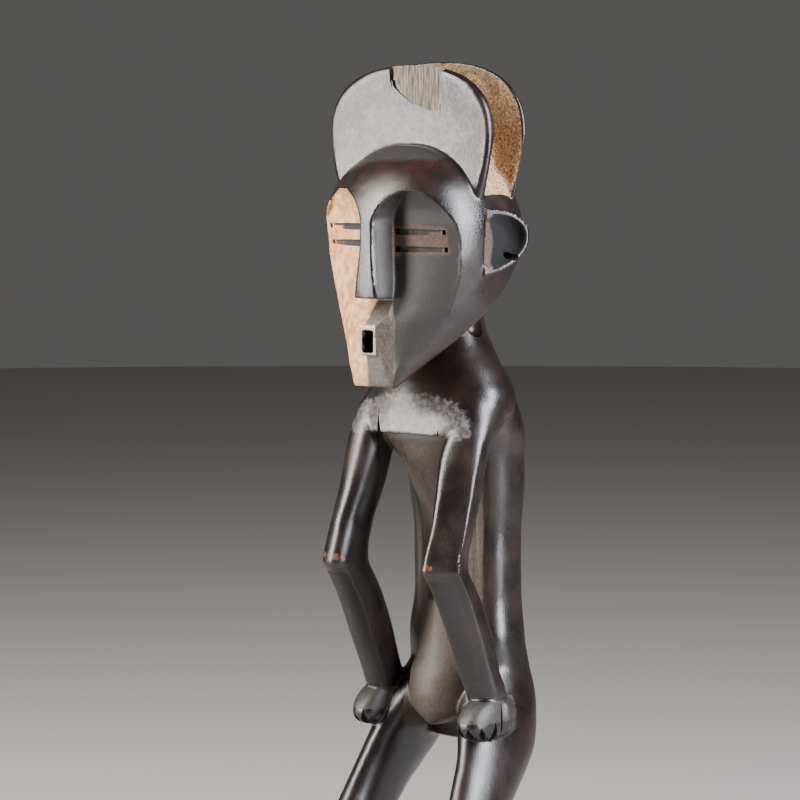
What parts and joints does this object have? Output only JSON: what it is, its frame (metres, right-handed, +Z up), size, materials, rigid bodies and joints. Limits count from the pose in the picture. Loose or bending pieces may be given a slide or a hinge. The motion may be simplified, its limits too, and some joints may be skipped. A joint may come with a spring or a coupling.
{
  "type": "carved wooden figure",
  "caption": "Standing carved wooden figure with a two-lobed crest, a hollowed heart-shaped face, hands laid on bent thighs and a low round base.",
  "frame": {"origin": "centre of the underside of the low round base", "axes": "+Z up the figure, -Y the way it faces, +X the figure's own left side"},
  "size_m": [0.184, 0.1855, 0.781],
  "materials": {
    "wood": "dark polished patina with ochre pigment in the face and crest"
  },
  "bodies": {
    "root": {"figure": "wood"}
  },
  "joints": []
}
